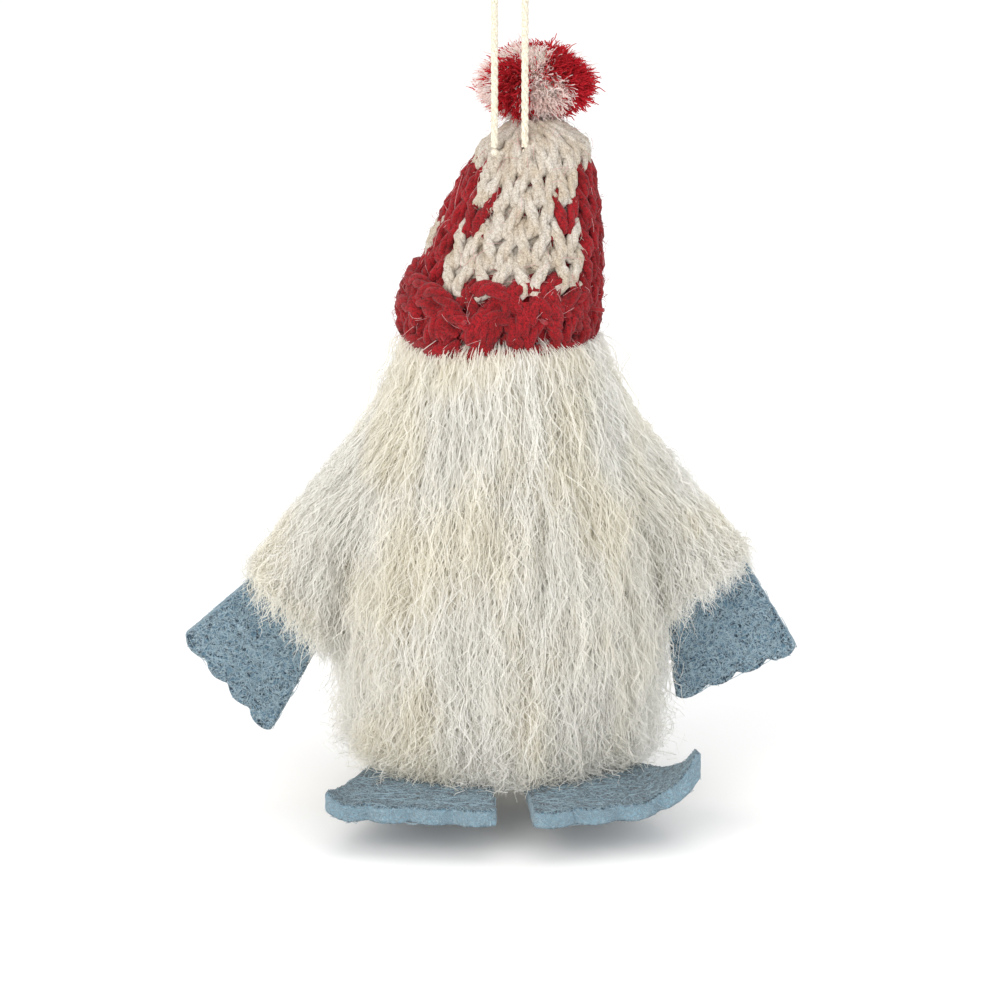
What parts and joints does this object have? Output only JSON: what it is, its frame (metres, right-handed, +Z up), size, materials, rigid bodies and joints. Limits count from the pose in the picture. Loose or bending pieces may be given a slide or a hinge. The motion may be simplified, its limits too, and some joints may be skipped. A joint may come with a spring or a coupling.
{
  "type": "tomte gnome figurine",
  "caption": "Hanging tomte gnome ornament with a long wool coat, felt hands and feet, a knitted pom-pom hat and a cord loop.",
  "frame": {"origin": "inside of the cord loop's top bend, where the hook or twig bears", "axes": "+Z up, -Y towards the gnome's front, +X to the right as seen from the front"},
  "size_m": [0.1024, 0.0598, 0.1495],
  "materials": {
    "cotton_cord": "twisted cotton, matt",
    "red_yarn": "woollen yarn, fuzzy",
    "cream_yarn": "woollen yarn, fuzzy",
    "fibre_filling": "loose polyester fibre",
    "sewing_thread": "spun thread",
    "wool_pile": "long natural wool pile",
    "lining_cloth": "plain woven cotton",
    "blue_felt": "pressed wool felt, mottled"
  },
  "bodies": {
    "loop": {"hanging_loop": "cotton_cord"},
    "gnome": {"cord_tails": "cotton_cord", "loop_knot": "cotton_cord", "hat_knit": "cream_yarn", "hat_rim": "red_yarn", "hat_stuffing": "fibre_filling", "hat_stitches": "sewing_thread", "fur_coat": "wool_pile", "body_stuffing": "fibre_filling", "base_disc": "lining_cloth", "base_stitches": "sewing_thread"},
    "pompom": {"pompom_yarn": "red_yarn", "pompom_tie": "cream_yarn"},
    "left_arm": {"left_sleeve": "wool_pile", "left_arm_stuffing": "fibre_filling"},
    "left_palm": {"left_hand": "blue_felt", "left_hand_stitches": "sewing_thread"},
    "right_arm": {"right_sleeve": "wool_pile", "right_arm_stuffing": "fibre_filling"},
    "right_palm": {"right_hand": "blue_felt", "right_hand_stitches": "sewing_thread"},
    "left_sole": {"left_foot": "blue_felt", "left_foot_stitches": "sewing_thread"},
    "right_sole": {"right_foot": "blue_felt", "right_foot_stitches": "sewing_thread"}
  },
  "joints": [
    {"name": "loop_swing", "type": "hinge", "parent": "loop", "child": "gnome", "pos_m": [0, 0, -0.043], "axis": [-1, 0, 0], "range_deg": [-7, 35]},
    {"name": "pompom_lean", "type": "hinge", "parent": "gnome", "child": "pompom", "pos_m": [0.0042, 0.0099, -0.041], "axis": [0, 1, 0], "range_deg": [-20, 20], "stiffness_Nm_per_rad": 0.004},
    {"name": "left_arm_lift", "type": "hinge", "parent": "gnome", "child": "left_arm", "pos_m": [-0.02079, 0.0004, -0.0865], "axis": [0, 1, 0], "range_deg": [0, 35], "stiffness_Nm_per_rad": 0.01},
    {"name": "right_arm_lift", "type": "hinge", "parent": "gnome", "child": "right_arm", "pos_m": [0.01819, 0.0004, -0.0865], "axis": [0, -1, 0], "range_deg": [0, 35], "stiffness_Nm_per_rad": 0.01},
    {"name": "left_hand_flex", "type": "hinge", "parent": "left_arm", "child": "left_palm", "pos_m": [-0.0374, 0.0004, -0.12168], "axis": [-0.7071, 0, 0.7071], "range_deg": [-30, 30], "stiffness_Nm_per_rad": 0.002},
    {"name": "right_hand_flex", "type": "hinge", "parent": "right_arm", "child": "right_palm", "pos_m": [0.03257, 0.0004, -0.11727], "axis": [-0.7986, 0, -0.6018], "range_deg": [-30, 30], "stiffness_Nm_per_rad": 0.002},
    {"name": "left_foot_flex", "type": "hinge", "parent": "gnome", "child": "left_sole", "pos_m": [-0.0123, -0.0036, -0.1465], "axis": [1, 0, 0], "range_deg": [0, 35], "stiffness_Nm_per_rad": 0.006},
    {"name": "right_foot_flex", "type": "hinge", "parent": "gnome", "child": "right_sole", "pos_m": [0.0097, -0.0036, -0.1465], "axis": [1, 0, 0], "range_deg": [0, 35], "stiffness_Nm_per_rad": 0.006}
  ]
}
